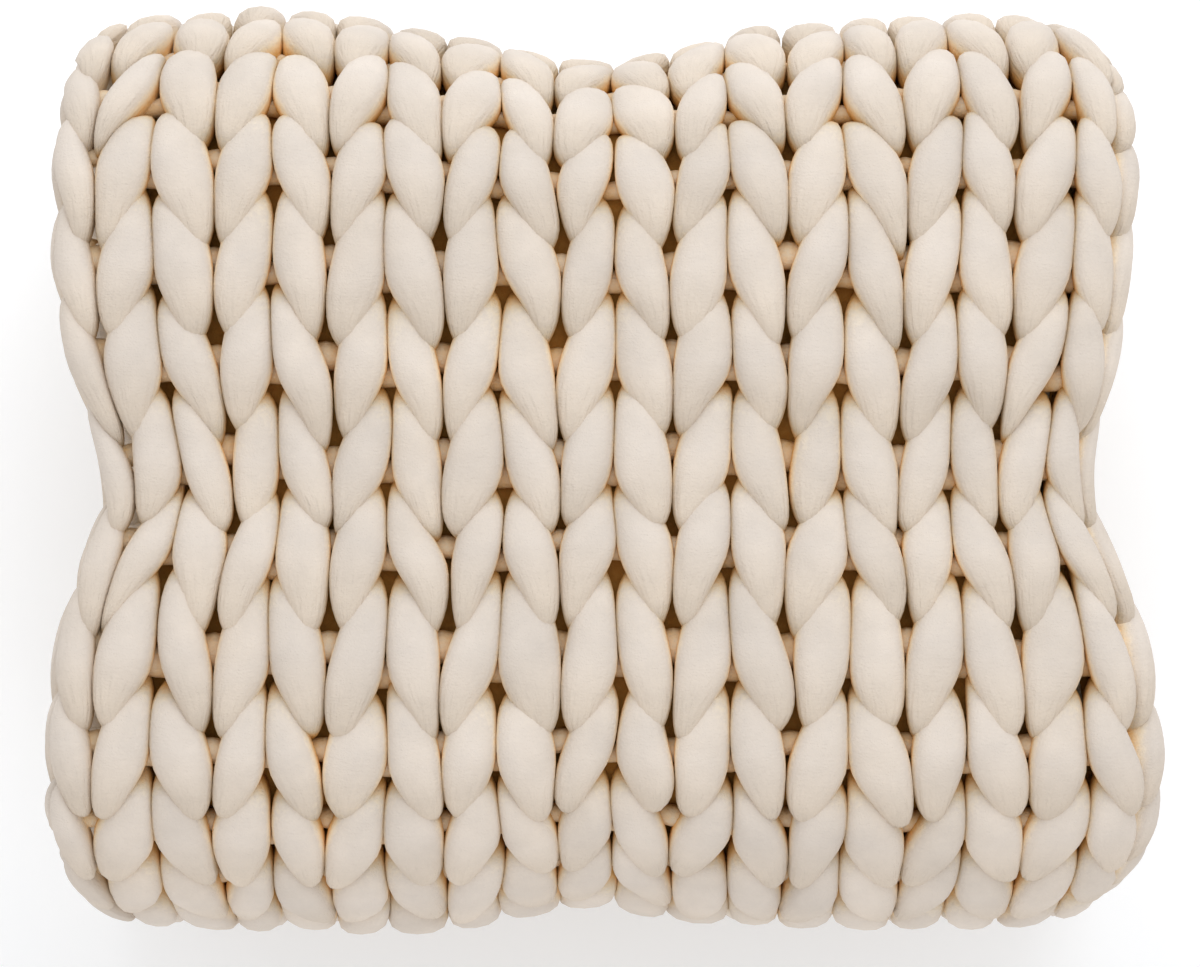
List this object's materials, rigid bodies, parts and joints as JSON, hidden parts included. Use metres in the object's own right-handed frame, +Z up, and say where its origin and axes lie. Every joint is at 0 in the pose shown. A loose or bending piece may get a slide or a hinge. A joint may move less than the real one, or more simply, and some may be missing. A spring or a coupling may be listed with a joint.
{
  "type": "weighted blanket",
  "caption": "Chunky hand-knitted weighted blanket of stuffed plush yarn, folded both ways into a thick rectangular bundle with softly drawn-in waists.",
  "frame": {"origin": "bottom centre of the folded bundle, on the surface that it lies on", "axes": "+Z up, out of the knit face that shows; +X along the long side, across the stitch columns; +Y up the face, along the stitch columns, towards the narrower bend"},
  "size_m": [0.5454, 0.4698, 0.276],
  "materials": {
    "plush_yarn": "cream velvet-like microfibre, soft sheen, stuffed"
  },
  "bodies": {
    "root": {"knit_blanket": "plush_yarn"}
  },
  "joints": []
}
